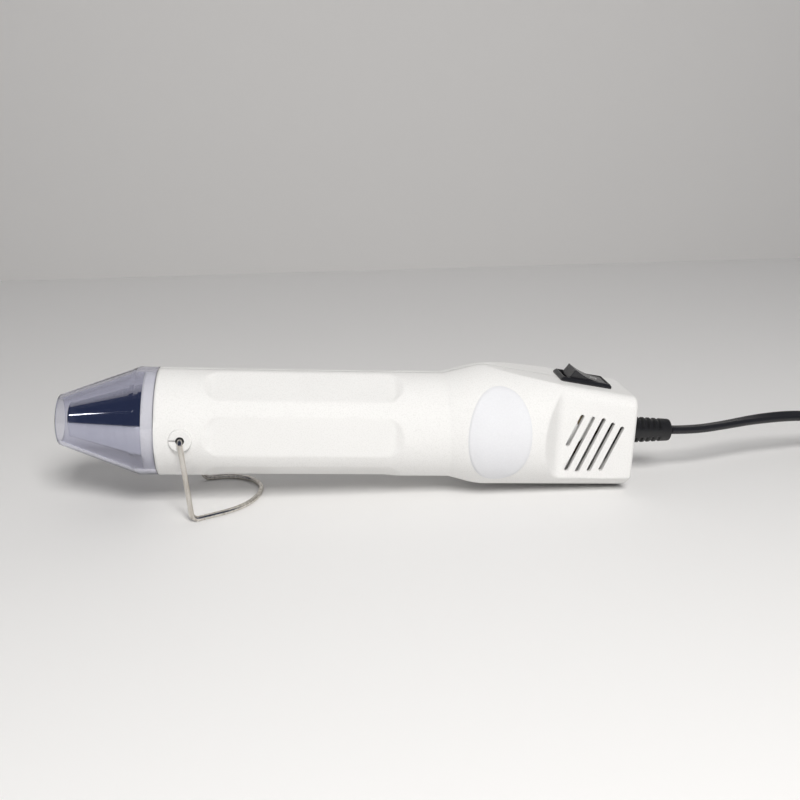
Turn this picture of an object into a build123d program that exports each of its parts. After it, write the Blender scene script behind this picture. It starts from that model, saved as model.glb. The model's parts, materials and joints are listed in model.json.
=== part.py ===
from build123d import *
from math import asin, atan2, cos, degrees, hypot, pi, radians, sin, sqrt, tan
import os

os.makedirs("parts", exist_ok=True)

# An embossing heat tool: a pencil-shaped hot-air gun that rests on a wire stand and its own rear edge.
# The tool is drawn level: X runs from the guard's front rim to the rear, Z is up from the barrel's
# axis, and -Y is the near side. At the end every piece is tilted and set down on the table at Z = 0.

# Clearances
running_gap = 0.35
slide_fit = 0.05
seat_fit = 0.1
seam_gap = 0.1
overrun = 40.0

# Front guard, clear moulded plastic
guard_rim_radius = 9.7
guard_cone_length = 30.3
guard_band_length = 7.6
guard_wall = 1.6
guard_band_wall = 2.0
guard_rim_round = 0.6

# Housing, two moulded halves that meet on the upright plane through the axis
barrel_radius = 21.0
housing_length = 185.3
housing_wall = 2.0
barrel_length = 124.3
spigot_length = 4.8
flare_angle = 14.8
flare_root_depth = 1.2
crest_round = 26.0
bulge_radius = 24.4
bulge_rise = 0.5

# Grip flats round the barrel
grip_count = 6
grip_start = 17.7
grip_length = 75.8
grip_flat_width = 15.4
grip_corner = 5.5
grip_ramp = 2.9
grip_ramp_share = 1.2

# Sloping top that carries the switch
top_slope = 8.81
top_height = 18.64
switch_from_rear = 18.9
top_edge_round = 4.4

# Flat side panels with the air slots
panel_half_width = 17.0
panel_length = 31.2
panel_ramp_angle = 48.0
panel_ramp_round = 5.0
rear_edge_round = 1.8
slot_width = 1.6
slot_slant = 22.7
slot_pitch = 4.57
slot_first = 5.3
slot_reach = 13.3
slot_top_shares = (0.635, 0.586, 0.537, 0.408, 0.285)
slot_foot_shares = (-0.217, -0.984, -1.017, -1.003, -0.979)

# Stand pivots, one boss on each side
pivot_from_front = 9.9
pivot_drop = 1.0
boss_radius = 4.3
boss_face = 22.3
boss_root = 16.6
boss_edge_round = 0.4
pin_clearance = 0.08
slit_width = 0.5

# Wire stand
wire_radius = 1.0
leg_drop = 31.2
leg_lean = 2.5
pin_reach = 5.2
wire_bend = 3.0
foot_depth = 24.6
foot_near_spread = 23.2
foot_far_spread = 21.4
foot_near_rise = 13.4
foot_far_rise = 3.5
foot_near_bend = 27.0
foot_far_bend = 16.0

# Nozzle and heater
nozzle_setback = 4.7
nozzle_outlet_radius = 6.6
nozzle_length = 25.9
nozzle_base_radius = 14.0
nozzle_skirt = 6.0
sheet_wall = 0.5
outlet_roll = 0.45
tube_length = 80.0
tube_overlap = 4.5
mica_wall = 0.4
sleeve_length = 68.0
sleeve_setback = 5.0
former_length = 64.0
former_end_tab = 3.5
former_thickness = 0.8
coil_turns = 7
coil_pitch = 7.6
coil_wire_radius = 0.8
coil_wire_sides = 6
fuse_radius = 1.8
fuse_length = 9.0
cutout_blade_length = 14.0
cutout_blade_width = 4.0
cutout_blade_thickness = 0.5
seat_rib_width = 2.0
seat_rib_setback = 6.6
seat_rib_spacing = 54.0

# Motor, fan and the frame that carries them
motor_radius = 12.1
motor_length = 26.0
motor_cap_length = 3.0
motor_wall = 0.8
motor_end_wall = 1.5
motor_neck_radius = 4.0
motor_neck_length = 1.6
motor_setback = 1.2
magnet_thickness = 2.4
magnet_length = 17.0
magnet_arc = 130.0
armature_radius = 8.1
armature_length = 14.0
armature_slots = 5
armature_slot_width = 1.6
armature_slot_depth = 3.4
shaft_radius = 1.0
bearing_clearance = 0.06
shaft_nose = 0.6
fan_setback = 4.2
fan_length = 10.0
fan_radius = 18.6
fan_tip_gap = 0.6
fan_hub_radius = 6.5
fan_cap_thickness = 1.4
fan_blades = 6
fan_blade_thickness = 1.1
fan_root_angle = 40.0
fan_tip_angle = 62.0
frame_plate_thickness = 1.8
frame_neck_wall = 1.7
frame_ring_setback = 3.8
frame_ring_length = 12.0
frame_spokes = 4
frame_spoke_width = 3.0
lead_notch_width = 4.6
lead_notch_depth = 2.9
motor_screw_spacing = 16.0
small_screw_radius = 1.0
small_head_radius = 2.0
small_head_height = 1.2
board_radius = 10.5
board_thickness = 1.4
board_standoff = 2.2
diode_radius = 1.3
diode_length = 5.0
lead_radius = 0.8
lead_bend = 3.0
heater_lead_spread = 5.0
board_lead_spread = 7.5

# Rocker switch
bezel_length = 21.0
bezel_width = 15.0
bezel_height = 1.6
bezel_bevel = 0.9
bezel_corner = 1.4
switch_body_length = 18.8
switch_body_width = 12.8
switch_body_depth = 12.6
switch_cut_length = 19.2
switch_cut_width = 13.2
window_length = 18.0
window_width = 11.4
window_depth = 9.4
rocker_width = 10.7
rocker_reach = 7.0
rocker_crown = 3.4
rocker_dip = 2.35
rocker_shoulder = 8.0
rocker_shoulder_drop = 1.0
rocker_foot = 4.2
rocker_foot_drop = 7.2
rocker_pivot_depth = 3.6
rocker_tilt = 14.0
rocker_pin_radius = 1.2
rocker_hollow = 0.25
terminal_width = 4.8
terminal_thickness = 0.8
terminal_length = 7.2
terminal_spacing = 7.6

# Strain relief
relief_drop = 1.9
relief_length = 19.5
relief_root_radius = 5.6
relief_end_radius = 4.45
relief_neck_radius = 4.2
relief_flange_radius = 5.8
relief_flange_length = 2.4
relief_rib_count = 6
relief_rib_pitch = 2.45
relief_notch_width = 1.1
relief_notch_depth = 1.15
relief_spine_width = 3.2
relief_end_round = 0.8

# Housing screws, driven from the far side
screw_radius = 1.3
screw_head_radius = 2.5
screw_head_height = 1.6
screw_post_radius = 2.8
screw_well_radius = 2.75
front_screw_x = 11.9
front_screw_z = 16.9
middle_screw_x = 99.0
rear_screw_x = 176.0
rear_screw_z = 15.0
barrel_post_reach = 7.0
barrel_screw_length = 10.5
barrel_head_seat = 4.2
rear_screw_length = 15.5
rear_head_seat = 9.0

# Mains cord, flat twin, with the length that the view doesn't reach put away in a coil
cord_width = 4.9
cord_thickness = 3.0
cord_exit_run = 10.0
cord_arc_share = 0.45
cord_coil_radius = 31.4
cord_coil_layers = 4
cord_layer_turns = 2
cord_coil_gap = 0.6
cord_coil_x = 256.0
cord_coil_y = 9.4
cord_coil_start = 90.0
cord_lead_points = [
    (146.0, 3.4, 20.6),
    (163.0, 8.8, 21.0),
    (182.0, 12.6, 20.6),
    (199.0, 17.6, 17.2),
    (216.0, 28.5, 8.4),
]
cord_touch_run = 20.0
cord_tail_points = [
    (287.4, 40.8, 15.2),
    (303.1, 13.6, 18.8),
    (287.4, -13.6, 22.6),
]
plug_x = 256.0
coil_checks_per_turn = 32
tie_thickness = 0.7
tie_width = 4.0

# Two-pin plug, lying on its flat side
plug_length = 36.0
plug_width = 26.0
plug_thickness = 13.7
plug_face_width = 25.0
plug_face_thickness = 12.9
plug_shoulder = 13.0
plug_tail_width = 10.5
plug_tail_thickness = 8.0
plug_corner = 3.0
pin_length = 19.0
pin_radius = 2.0
pin_sleeve_length = 10.0
pin_sleeve_radius = 1.9
pin_spacing = 18.6

# Stations along the tool, worked out from the sizes above
housing_front = guard_cone_length + guard_band_length
housing_rear = housing_front + housing_length
bulge_start = housing_front + barrel_length
grip_flat_distance = sqrt(barrel_radius**2 - (grip_flat_width / 2) ** 2)
grip_depth = barrel_radius - grip_flat_distance
bore_radius = grip_flat_distance - housing_wall
spigot_radius = barrel_radius - guard_band_wall - slide_fit
switch_x = housing_rear - switch_from_rear
panel_front = housing_rear - panel_length
pivot_x = housing_front + pivot_from_front
flare_slope = tan(radians(flare_angle))
top_fall = tan(radians(top_slope))
axis = Axis.X
bulge_axis = Axis((0, 0, bulge_rise), (1, 0, 0))
top_plane = Plane(
    origin=(switch_x, 0, top_height),
    x_dir=(cos(radians(top_slope)), 0, -sin(radians(top_slope))),
    z_dir=(sin(radians(top_slope)), 0, cos(radians(top_slope))),
)


def top_at(x, inset):
    """Height of the sloping top at a station, moved inwards by inset."""
    return top_height - (x - switch_x) * top_fall - inset / cos(radians(top_slope))


def housing_form(inset, tube_radius):
    """Closed form of the housing, or of its hollow when inset is the wall."""
    flare_run = (bulge_radius - barrel_radius + flare_root_depth) / flare_slope
    full_radius = bulge_radius - inset
    rear = housing_rear - inset
    half_width = panel_half_width - inset
    ramp_run = (bulge_radius + overrun - panel_half_width) / tan(radians(panel_ramp_angle))
    ramp_shift = inset / sin(radians(panel_ramp_angle)) - inset / tan(radians(panel_ramp_angle))
    front = panel_front - inset + ramp_shift
    top_start = bulge_start - overrun

    with BuildPart() as envelope:
        with BuildSketch(Plane.XZ.offset(-bulge_radius - overrun)):
            with BuildLine():
                Polyline(
                    (housing_front, -bulge_radius - overrun),
                    (rear, -bulge_radius - overrun),
                    (rear, top_at(rear, inset)),
                    (top_start, top_at(top_start, inset)),
                    (housing_front, top_at(top_start, inset)),
                    close=True,
                )
            make_face()
        extrude(amount=2 * (bulge_radius + overrun))
        for side in (-1, 1):
            with BuildSketch(Plane.XY.offset(-bulge_radius - overrun)):
                with BuildLine():
                    Polyline(
                        (front, side * half_width),
                        (rear + overrun, side * half_width),
                        (rear + overrun, side * (half_width + 2 * overrun)),
                        (front - ramp_run, side * (half_width + bulge_radius + overrun - panel_half_width)),
                        close=True,
                    )
                make_face()
            extrude(amount=3 * overrun + bulge_radius, mode=Mode.SUBTRACT)
        if inset == 0:
            upright = envelope.edges().filter_by(Axis.Z)
            corners = upright.filter_by_position(Axis.X, front - seam_gap, front + seam_gap)
            fillet(corners, radius=panel_ramp_round)
            upper = envelope.faces().sort_by(Axis(top_plane.origin, top_plane.z_dir))[-1]
            rearward = upper.edges().filter_by(lambda edge: edge.center().X > front - panel_ramp_round)
            sloping = rearward.filter_by(lambda edge: abs(edge.center().Y) > panel_half_width / 2)
            fillet(sloping, radius=top_edge_round)

    with BuildPart() as form:
        with BuildSketch(Plane.YZ.offset(housing_front)):
            Circle(tube_radius)
        extrude(amount=barrel_length)
        with BuildSketch(Plane.XZ):
            with BuildLine():
                Polyline(
                    (bulge_start - flare_run, bulge_rise),
                    (bulge_start - flare_run, bulge_rise + full_radius - flare_run * flare_slope),
                    (bulge_start, bulge_rise + full_radius),
                    (rear, bulge_rise + full_radius),
                    (rear, bulge_rise),
                    close=True,
                )
            sketch = make_face()
            crest = sketch.vertices().filter_by(lambda corner: abs(corner.X - bulge_start) < seam_gap)
            fillet(crest, radius=crest_round - inset)
        revolve(axis=bulge_axis)
        add(envelope.part, mode=Mode.INTERSECT)
        if inset == 0:
            fillet(form.faces().sort_by(Axis.X)[-1].edges(), radius=rear_edge_round)
    return form.part


def outward(side, distance):
    """Upright plane facing out from one side of the tool, with Z up in it."""
    return Plane(origin=(0, side * distance, 0), x_dir=(-side, 0, 0), z_dir=(0, side, 0))


def across(start):
    """Plane square to the tool's axis, facing the rear."""
    return Plane.YZ.offset(start)


def finish(piece, node, place):
    """Sets a piece down in its place and writes it."""
    solid = piece.part.moved(place)
    solid.label = node
    export_step(solid, f"parts/{node}.step")


# How the tool sits: the stand's foot and the rear bottom edge both touch the table.
rear_foot_x = housing_rear - rear_edge_round
rear_foot_z = bulge_rise - bulge_radius + rear_edge_round
foot_run = rear_foot_x - pivot_x
foot_rise = -pivot_drop - rear_foot_z
stand_height = leg_drop + wire_radius - rear_edge_round
tilt = asin(stand_height / hypot(foot_run, foot_rise)) - atan2(foot_rise, foot_run)
relief_end = housing_rear + relief_length
nose_x = -guard_rim_radius * sin(tilt)
tail_x = relief_end * cos(tilt) + (relief_end_radius - relief_drop) * sin(tilt)
shift = -(nose_x + tail_x) / 2
lift = rear_edge_round + rear_foot_x * sin(tilt) - rear_foot_z * cos(tilt)
seat = Location((shift, 0, lift), (0, degrees(tilt), 0))


def seated(x, y, z):
    """A point of the level drawing, on the table."""
    return Vector(x * cos(tilt) + z * sin(tilt) + shift, y, z * cos(tilt) - x * sin(tilt) + lift)


# Housing halves
housing_outer = housing_form(0, barrel_radius)
housing_inner = housing_form(housing_wall, bore_radius)
barrel_screws = [(housing_front + front_screw_x, front_screw_z)]
barrel_screws += [(housing_front + front_screw_x, -front_screw_z)]
barrel_screws += [(housing_front + middle_screw_x, front_screw_z)]
rear_screw = (housing_front + rear_screw_x, -rear_screw_z)
tube_radius = nozzle_base_radius - sheet_wall - slide_fit
tube_start = nozzle_setback + nozzle_length + nozzle_skirt - tube_overlap
motor_rear = bulge_start - motor_setback
motor_front = motor_rear - motor_length
neck_hole_radius = relief_neck_radius + slide_fit


def housing_half(side):
    """One half shell: side is -1 for the near half and 1 for the far half."""
    with BuildPart() as half:
        add(housing_outer)
        with BuildSketch(across(housing_front - spigot_length)):
            Circle(spigot_radius)
        extrude(amount=spigot_length)
        with BuildSketch(outward(side, boss_root)):
            with Locations((-side * pivot_x, -pivot_drop)):
                Circle(boss_radius)
        extrude(amount=boss_face - boss_root)
        circles = half.edges().filter_by(GeomType.CIRCLE)
        rim = circles.filter_by(lambda edge: abs(edge.center().Y) > boss_face - slide_fit)
        fillet(rim, radius=boss_edge_round)

        # The shallow flats that the fingers hold
        for turn in range(grip_count):
            angle = radians(turn * 360 / grip_count)
            way = Vector(0, -cos(angle), sin(angle))
            centre = way * grip_flat_distance + Vector(housing_front + grip_start + grip_length / 2, 0, 0)
            flat = Plane(origin=centre, x_dir=(1, 0, 0), z_dir=way)
            flat_length = grip_length - 2 * grip_ramp
            spread = 2 * grip_ramp * grip_ramp_share
            width = grip_flat_width + grip_corner / grip_count
            with BuildSketch(flat):
                RectangleRounded(flat_length, width, grip_corner)
            with BuildSketch(flat.offset(grip_depth * grip_ramp_share)):
                RectangleRounded(flat_length + spread, width + spread, grip_corner + spread / 2)
            loft(ruled=True, mode=Mode.SUBTRACT)

        add(housing_inner, mode=Mode.SUBTRACT)
        with BuildSketch(across(housing_front - spigot_length)):
            Circle(bore_radius)
        extrude(amount=spigot_length, mode=Mode.SUBTRACT)

        # Inner rings that hold the heater tube, and the pivot boss inside the wall
        for station in (seat_rib_setback, seat_rib_setback + seat_rib_spacing):
            with BuildSketch(across(housing_front + station)):
                Circle(bore_radius + housing_wall / 2)
                Circle(tube_radius + seat_fit, mode=Mode.SUBTRACT)
            extrude(amount=seat_rib_width)
        with BuildSketch(outward(side, boss_root)):
            with Locations((-side * pivot_x, -pivot_drop)):
                Circle(boss_radius)
        extrude(amount=barrel_radius - housing_wall / 2 - boss_root)

        # Screw posts, with pilot holes in the near half and wells in the far half
        with BuildSketch(outward(side, 0)):
            with Locations([(-side * x, z) for x, z in barrel_screws]):
                Circle(screw_post_radius)
        extrude(amount=barrel_post_reach)
        with BuildSketch(outward(side, 0)):
            with Locations((-side * rear_screw[0], rear_screw[1])):
                Circle(screw_post_radius)
        extrude(amount=panel_half_width - housing_wall / 2)
        with BuildSketch(outward(side, 0)):
            with Locations([(-side * x, z) for x, z in barrel_screws + [rear_screw]]):
                Circle(screw_radius + seat_fit)
        extrude(amount=barrel_post_reach, mode=Mode.SUBTRACT)
        if side > 0:
            with BuildSketch(outward(side, barrel_head_seat)):
                with Locations([(-side * x, z) for x, z in barrel_screws]):
                    Circle(screw_well_radius)
            extrude(amount=overrun, mode=Mode.SUBTRACT)
            with BuildSketch(outward(side, 0)):
                with Locations((-side * rear_screw[0], rear_screw[1])):
                    Circle(screw_radius + seat_fit)
            extrude(amount=rear_head_seat, mode=Mode.SUBTRACT)
            with BuildSketch(outward(side, rear_head_seat)):
                with Locations((-side * rear_screw[0], rear_screw[1])):
                    Circle(screw_well_radius)
            extrude(amount=overrun, mode=Mode.SUBTRACT)

        # Pivot hole and the slit that lets it spring
        with BuildSketch(outward(side, boss_root)):
            with Locations((-side * pivot_x, -pivot_drop)):
                Circle(wire_radius + pin_clearance)
            with Locations((-side * (pivot_x - boss_radius / 2), -pivot_drop)):
                Rectangle(boss_radius, slit_width)
        extrude(amount=boss_face - boss_root, mode=Mode.SUBTRACT)

        # Air slots in the side panel
        with BuildSketch(outward(side, panel_half_width - housing_wall - seam_gap)):
            for count, (top_share, foot_share) in enumerate(zip(slot_top_shares, slot_foot_shares)):
                base = panel_front + slot_first + count * slot_pitch
                lean = tan(radians(slot_slant))
                top = slot_reach * top_share
                foot = slot_reach * foot_share
                middle = (top + foot) / 2
                length = (top - foot) / cos(radians(slot_slant)) + slot_width
                with Locations((-side * (base + middle * lean), middle)):
                    SlotOverall(length, slot_width, rotation=90 + side * slot_slant)
        extrude(amount=housing_wall + 2 * seam_gap, mode=Mode.SUBTRACT)

        # Openings for the switch and for the strain relief
        with BuildSketch(top_plane.offset(-housing_wall - seam_gap)):
            Rectangle(switch_cut_length, switch_cut_width)
        extrude(amount=housing_wall + overrun, mode=Mode.SUBTRACT)
        with BuildSketch(across(housing_rear - housing_wall - seam_gap)):
            with Locations((0, -relief_drop)):
                Circle(neck_hole_radius)
        extrude(amount=housing_wall + overrun, mode=Mode.SUBTRACT)

        split(bisect_by=Plane.XZ.offset(-side * seam_gap / 2), keep=Keep.TOP if side < 0 else Keep.BOTTOM)
    return half


near_housing = housing_half(-1)
far_housing = housing_half(1)
finish(near_housing, "near_housing", seat)
finish(far_housing, "far_housing", seat)

# Front guard: a cone with a straight band that slides over the housing's spigot
guard_end = housing_front - running_gap / 2
guard_slope = (barrel_radius - guard_rim_radius) / guard_cone_length
with BuildPart() as front_guard:
    with BuildSketch(Plane.XZ):
        with BuildLine():
            Polyline(
                (0, guard_rim_radius - guard_wall),
                (0, guard_rim_radius),
                (guard_cone_length, barrel_radius),
                (guard_end, barrel_radius),
                (guard_end, barrel_radius - guard_band_wall),
                (guard_cone_length, barrel_radius - guard_band_wall),
                (guard_cone_length - guard_wall, barrel_radius - guard_wall * (1 + guard_slope)),
                close=True,
            )
        make_face()
    revolve(axis=axis)
    rim = front_guard.edges().filter_by_position(Axis.X, -seam_gap, seam_gap)
    fillet(rim, radius=guard_rim_round)
finish(front_guard, "front_guard", seat)

# Steel nozzle: a spun cone with a short skirt that slides over the heater tube
nozzle_base = nozzle_setback + nozzle_length
nozzle_end = nozzle_base + nozzle_skirt
with BuildPart() as nozzle_cone:
    with BuildSketch(Plane.XZ):
        with BuildLine():
            Polyline(
                (nozzle_setback, nozzle_outlet_radius),
                (nozzle_base, nozzle_base_radius),
                (nozzle_end, nozzle_base_radius),
                (nozzle_end, nozzle_base_radius - sheet_wall),
                (nozzle_base, nozzle_base_radius - sheet_wall),
                (nozzle_setback, nozzle_outlet_radius - sheet_wall),
                close=True,
            )
        make_face()
    revolve(axis=axis)
    with BuildSketch(Plane.XZ):
        with Locations((nozzle_setback, nozzle_outlet_radius - sheet_wall / 2)):
            Circle(outlet_roll)
    revolve(axis=axis)
finish(nozzle_cone, "nozzle_cone", seat)


def sleeve(start, length, radius, wall):
    """A plain tube along the axis."""
    with BuildPart() as tube:
        with BuildSketch(across(start)):
            Circle(radius)
            Circle(radius - wall, mode=Mode.SUBTRACT)
        extrude(amount=length)
    return tube


finish(sleeve(tube_start, tube_length, tube_radius, sheet_wall), "heater_tube", seat)
mica_radius = tube_radius - sheet_wall - slide_fit
sleeve_start = tube_start + sleeve_setback
finish(sleeve(sleeve_start, sleeve_length, mica_radius, mica_wall), "mica_sleeve", seat)

# Mica former: two crossed plates, narrow where the coil is wound and wide at both ends
former_start = sleeve_start + (sleeve_length - former_length) / 2
former_reach = mica_radius - mica_wall - slide_fit
waist = former_reach - 2 * coil_wire_radius - 2 * former_thickness
with BuildPart() as mica_former:
    for plane in (Plane.XZ, Plane.XY):
        with BuildSketch(plane):
            with Locations((former_start + former_length / 2, 0)):
                Rectangle(former_length, 2 * waist)
            for end in (former_start + former_end_tab / 2, former_start + former_length - former_end_tab / 2):
                with Locations((end, 0)):
                    Rectangle(former_end_tab, 2 * former_reach)
        extrude(amount=former_thickness / 2, both=True)
finish(mica_former, "mica_former", seat)


def biarc(start, start_way, end, end_way):
    """Two arcs that leave start and reach end along the given directions."""
    span = end - start
    ways = start_way + end_way
    turn = 2 * (1 - start_way.dot(end_way))
    along = span.dot(ways)
    reach = (sqrt(along**2 + turn * span.dot(span)) - along) / turn
    middle = (start + end + (start_way - end_way) * reach) * (1 / 2)
    first = TangentArc(start, middle, tangent=start_way)
    TangentArc(middle, end, tangent=first % 1)


def wound(place, steps):
    """Joins the places along a winding, each given by its step, with biarcs."""
    ends = [place(step) for step in range(steps + 1)]
    for (start, start_way), (end, end_way) in zip(ends, ends[1:]):
        biarc(start, start_way, end, end_way)


# Heating coil, wound round the former
coil_radius = waist + coil_wire_radius + slide_fit
coil_length = coil_turns * coil_pitch
coil_start = former_start + (former_length - coil_length) / 2


def heater_turn(step):
    """Point and direction of the heating coil at each half turn."""
    angle = pi * step
    point = Vector(coil_start + coil_pitch * step / 2, coil_radius * cos(angle), coil_radius * sin(angle))
    way = Vector(coil_pitch / (2 * pi), -coil_radius * sin(angle), coil_radius * cos(angle))
    return point, way.normalized()


with BuildPart() as heating_coil:
    with BuildLine() as winding:
        wound(heater_turn, 2 * coil_turns)
    with BuildSketch(Plane(origin=winding.wire() @ 0, z_dir=winding.wire() % 0)):
        RegularPolygon(coil_wire_radius, coil_wire_sides)
    sweep(path=winding.wire())
finish(heating_coil, "heating_coil", seat)

# Thermal fuse and bimetal cut-out, lying against the former's plates behind the coil
fuse_offset = former_thickness / 2 + fuse_radius + seat_fit
guard_parts_end = former_start + former_length - former_end_tab
with BuildPart() as thermal_fuse:
    with BuildSketch(across(guard_parts_end - fuse_length)):
        with Locations((-fuse_offset, fuse_offset)):
            Circle(fuse_radius)
    extrude(amount=fuse_length)
    chamfer(thermal_fuse.edges(), length=fuse_radius / 4)
finish(thermal_fuse, "thermal_fuse", seat)

cutout_z = former_thickness / 2 + seat_fit + cutout_blade_thickness / 2
with BuildPart() as thermal_cutout:
    with BuildSketch(Plane.XY.offset(-cutout_z)):
        with Locations((guard_parts_end - cutout_blade_length / 2, cutout_blade_width)):
            Rectangle(cutout_blade_length, cutout_blade_width)
    extrude(amount=cutout_blade_thickness / 2, both=True)
    with BuildSketch(Plane.XY.offset(-cutout_z)):
        with Locations((guard_parts_end - cutout_blade_width / 2, cutout_blade_width)):
            Rectangle(cutout_blade_width, cutout_blade_width)
    extrude(amount=-cutout_blade_width / 2)
finish(thermal_cutout, "thermal_cutout", seat)

# Motor: drawn can, moulded end cap, two magnets, and an armature on the shaft
can_bore = motor_radius - motor_wall
shaft_bore = shaft_radius + bearing_clearance
motor_screw_places = [(0, motor_screw_spacing / 2), (0, -motor_screw_spacing / 2)]
with BuildPart() as motor_can:
    with BuildSketch(across(motor_front)):
        Circle(motor_radius)
    extrude(amount=motor_length)
    rear_rim = motor_can.edges().sort_by(Axis.X)[-1]
    fillet(rear_rim, radius=motor_wall)
    with BuildSketch(across(motor_front)):
        Circle(can_bore)
    extrude(amount=motor_length - motor_end_wall, mode=Mode.SUBTRACT)
    with BuildSketch(across(motor_rear)):
        Circle(motor_neck_radius)
    extrude(amount=motor_neck_length)
    with BuildSketch(across(motor_rear - motor_end_wall)):
        Circle(shaft_bore)
        with Locations(motor_screw_places):
            Circle(small_screw_radius + slide_fit)
    extrude(amount=motor_end_wall + motor_neck_length, mode=Mode.SUBTRACT)
finish(motor_can, "motor_can", seat)

tab_reach = board_standoff + board_thickness + shaft_nose
with BuildPart() as motor_end_cap:
    with BuildSketch(across(motor_front)):
        Circle(can_bore - slide_fit)
    extrude(amount=motor_cap_length)
    with BuildSketch(across(motor_front - tab_reach)):
        with Locations((motor_screw_spacing / 2, 0), (-motor_screw_spacing / 2, 0)):
            Rectangle(terminal_thickness, 2 * small_head_radius)
    extrude(amount=tab_reach)
    with BuildSketch(across(motor_front)):
        Circle(shaft_bore)
    extrude(amount=motor_cap_length, mode=Mode.SUBTRACT)
finish(motor_end_cap, "motor_end_cap", seat)

magnet_outer = can_bore - slide_fit
magnet_start = motor_front + motor_cap_length + running_gap
with BuildPart() as motor_magnets:
    for middle in (0, 180):
        with BuildSketch(across(magnet_start)):
            with BuildLine():
                first = middle - magnet_arc / 2
                outer_arc = CenterArc((0, 0), magnet_outer, first, magnet_arc)
                inner_arc = CenterArc((0, 0), magnet_outer - magnet_thickness, first, magnet_arc)
                Line(outer_arc @ 0, inner_arc @ 0)
                Line(outer_arc @ 1, inner_arc @ 1)
            make_face()
        extrude(amount=magnet_length)
finish(motor_magnets, "motor_magnets", seat)

armature_start = magnet_start + (magnet_length - armature_length) / 2
with BuildPart() as motor_armature:
    with BuildSketch(across(armature_start)):
        Circle(armature_radius)
        with PolarLocations(armature_radius - armature_slot_depth / 2, armature_slots):
            Rectangle(armature_slot_depth + slide_fit, armature_slot_width, mode=Mode.SUBTRACT)
        Circle(shaft_radius + slide_fit, mode=Mode.SUBTRACT)
    extrude(amount=armature_length)
finish(motor_armature, "motor_armature", seat)

fan_start = motor_rear + fan_setback
fan_end = fan_start + fan_length
shaft_start = motor_front - shaft_nose
with BuildPart() as motor_shaft:
    with BuildSketch(across(shaft_start)):
        Circle(shaft_radius)
    extrude(amount=fan_end - shaft_start)
    chamfer(motor_shaft.edges().filter_by(GeomType.CIRCLE), length=shaft_radius / 4)
finish(motor_shaft, "motor_shaft", seat)

# Fan: twisted blades between a hub and the tip circle
root_radius = fan_hub_radius - fan_blade_thickness / 2
blade_depth = fan_length - 2 * fan_blade_thickness
blade_sections = [(root_radius, fan_root_angle), (fan_radius + fan_hub_radius / 2, fan_tip_angle)]
with BuildPart() as fan_blade:
    for radius, lean in blade_sections:
        with BuildSketch(Plane.XY.offset(radius)):
            with Locations((fan_start + fan_length / 2, 0)):
                Rectangle(blade_depth / cos(radians(lean)), fan_blade_thickness, rotation=lean)
    loft(ruled=True)
    with BuildSketch(across(fan_start)):
        Circle(fan_radius)
    extrude(amount=fan_length, mode=Mode.INTERSECT)

with BuildPart() as fan_impeller:
    with BuildSketch(across(fan_start)):
        Circle(fan_hub_radius)
    extrude(amount=fan_length)
    nose = fan_impeller.edges().sort_by(Axis.X)[-1]
    fillet(nose, radius=fan_hub_radius / 3)
    with BuildSketch(across(fan_start)):
        Circle(fan_hub_radius - fan_cap_thickness)
        Circle(fan_hub_radius / 2, mode=Mode.SUBTRACT)
    extrude(amount=fan_length - 2 * fan_cap_thickness, mode=Mode.SUBTRACT)
    for turn in range(fan_blades):
        add(fan_blade.part.rotate(Axis.X, turn * 360 / fan_blades))
    with BuildSketch(across(fan_start)):
        Circle(shaft_radius + slide_fit)
    extrude(amount=fan_length, mode=Mode.SUBTRACT)
finish(fan_impeller, "fan_impeller", seat)

# Motor frame: a plate behind the motor, spokes, and a ring round the fan that seats in the bulge
ring_start = bulge_start + frame_ring_setback
ring_bore = fan_radius + fan_tip_gap
neck_ring = ring_bore + frame_neck_wall
frame_space = housing_form(housing_wall + seat_fit, bore_radius)
with BuildPart() as motor_frame:
    with BuildSketch(across(ring_start)):
        Circle(bulge_radius)
    extrude(amount=frame_ring_length)
    with BuildSketch(across(motor_rear)):
        Circle(neck_ring)
    extrude(amount=ring_start - motor_rear)
    add(frame_space, mode=Mode.INTERSECT)
    with BuildSketch(across(motor_rear)):
        Circle(ring_bore)
    extrude(amount=frame_ring_length + ring_start - motor_rear, mode=Mode.SUBTRACT)
    with BuildSketch(across(motor_rear)):
        Circle(motor_radius)
        with PolarLocations(neck_ring / 2, frame_spokes, start_angle=180 / frame_spokes):
            Rectangle(neck_ring, frame_spoke_width)
        Circle(motor_neck_radius + slide_fit, mode=Mode.SUBTRACT)
        with Locations(motor_screw_places):
            Circle(small_screw_radius + slide_fit, mode=Mode.SUBTRACT)
    extrude(amount=frame_plate_thickness)
    with BuildSketch(across(motor_rear)):
        with Locations((0, bulge_rise - bulge_radius + housing_wall + lead_notch_depth / 2 - seam_gap)):
            Rectangle(lead_notch_width, lead_notch_depth + seat_fit)
    extrude(amount=frame_ring_length + ring_start - motor_rear, mode=Mode.SUBTRACT)
finish(motor_frame, "motor_frame", seat)

with BuildPart() as motor_screws:
    with BuildSketch(across(motor_rear - motor_end_wall)):
        with Locations(motor_screw_places):
            Circle(small_screw_radius)
    extrude(amount=motor_end_wall + frame_plate_thickness)
    with BuildSketch(across(motor_rear + frame_plate_thickness)):
        with Locations(motor_screw_places):
            Circle(small_head_radius)
    extrude(amount=small_head_height)
finish(motor_screws, "motor_screws", seat)

# Rectifier board on the motor's terminals
board_start = motor_front - board_standoff - board_thickness
tab_slot = (terminal_thickness + 2 * slide_fit, 2 * (small_head_radius + slide_fit))
with BuildPart() as rectifier_board:
    with BuildSketch(across(board_start)):
        Circle(board_radius)
        with Locations((motor_screw_spacing / 2, 0), (-motor_screw_spacing / 2, 0)):
            Rectangle(*tab_slot, mode=Mode.SUBTRACT)
    extrude(amount=board_thickness)
finish(rectifier_board, "rectifier_board", seat)

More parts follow.
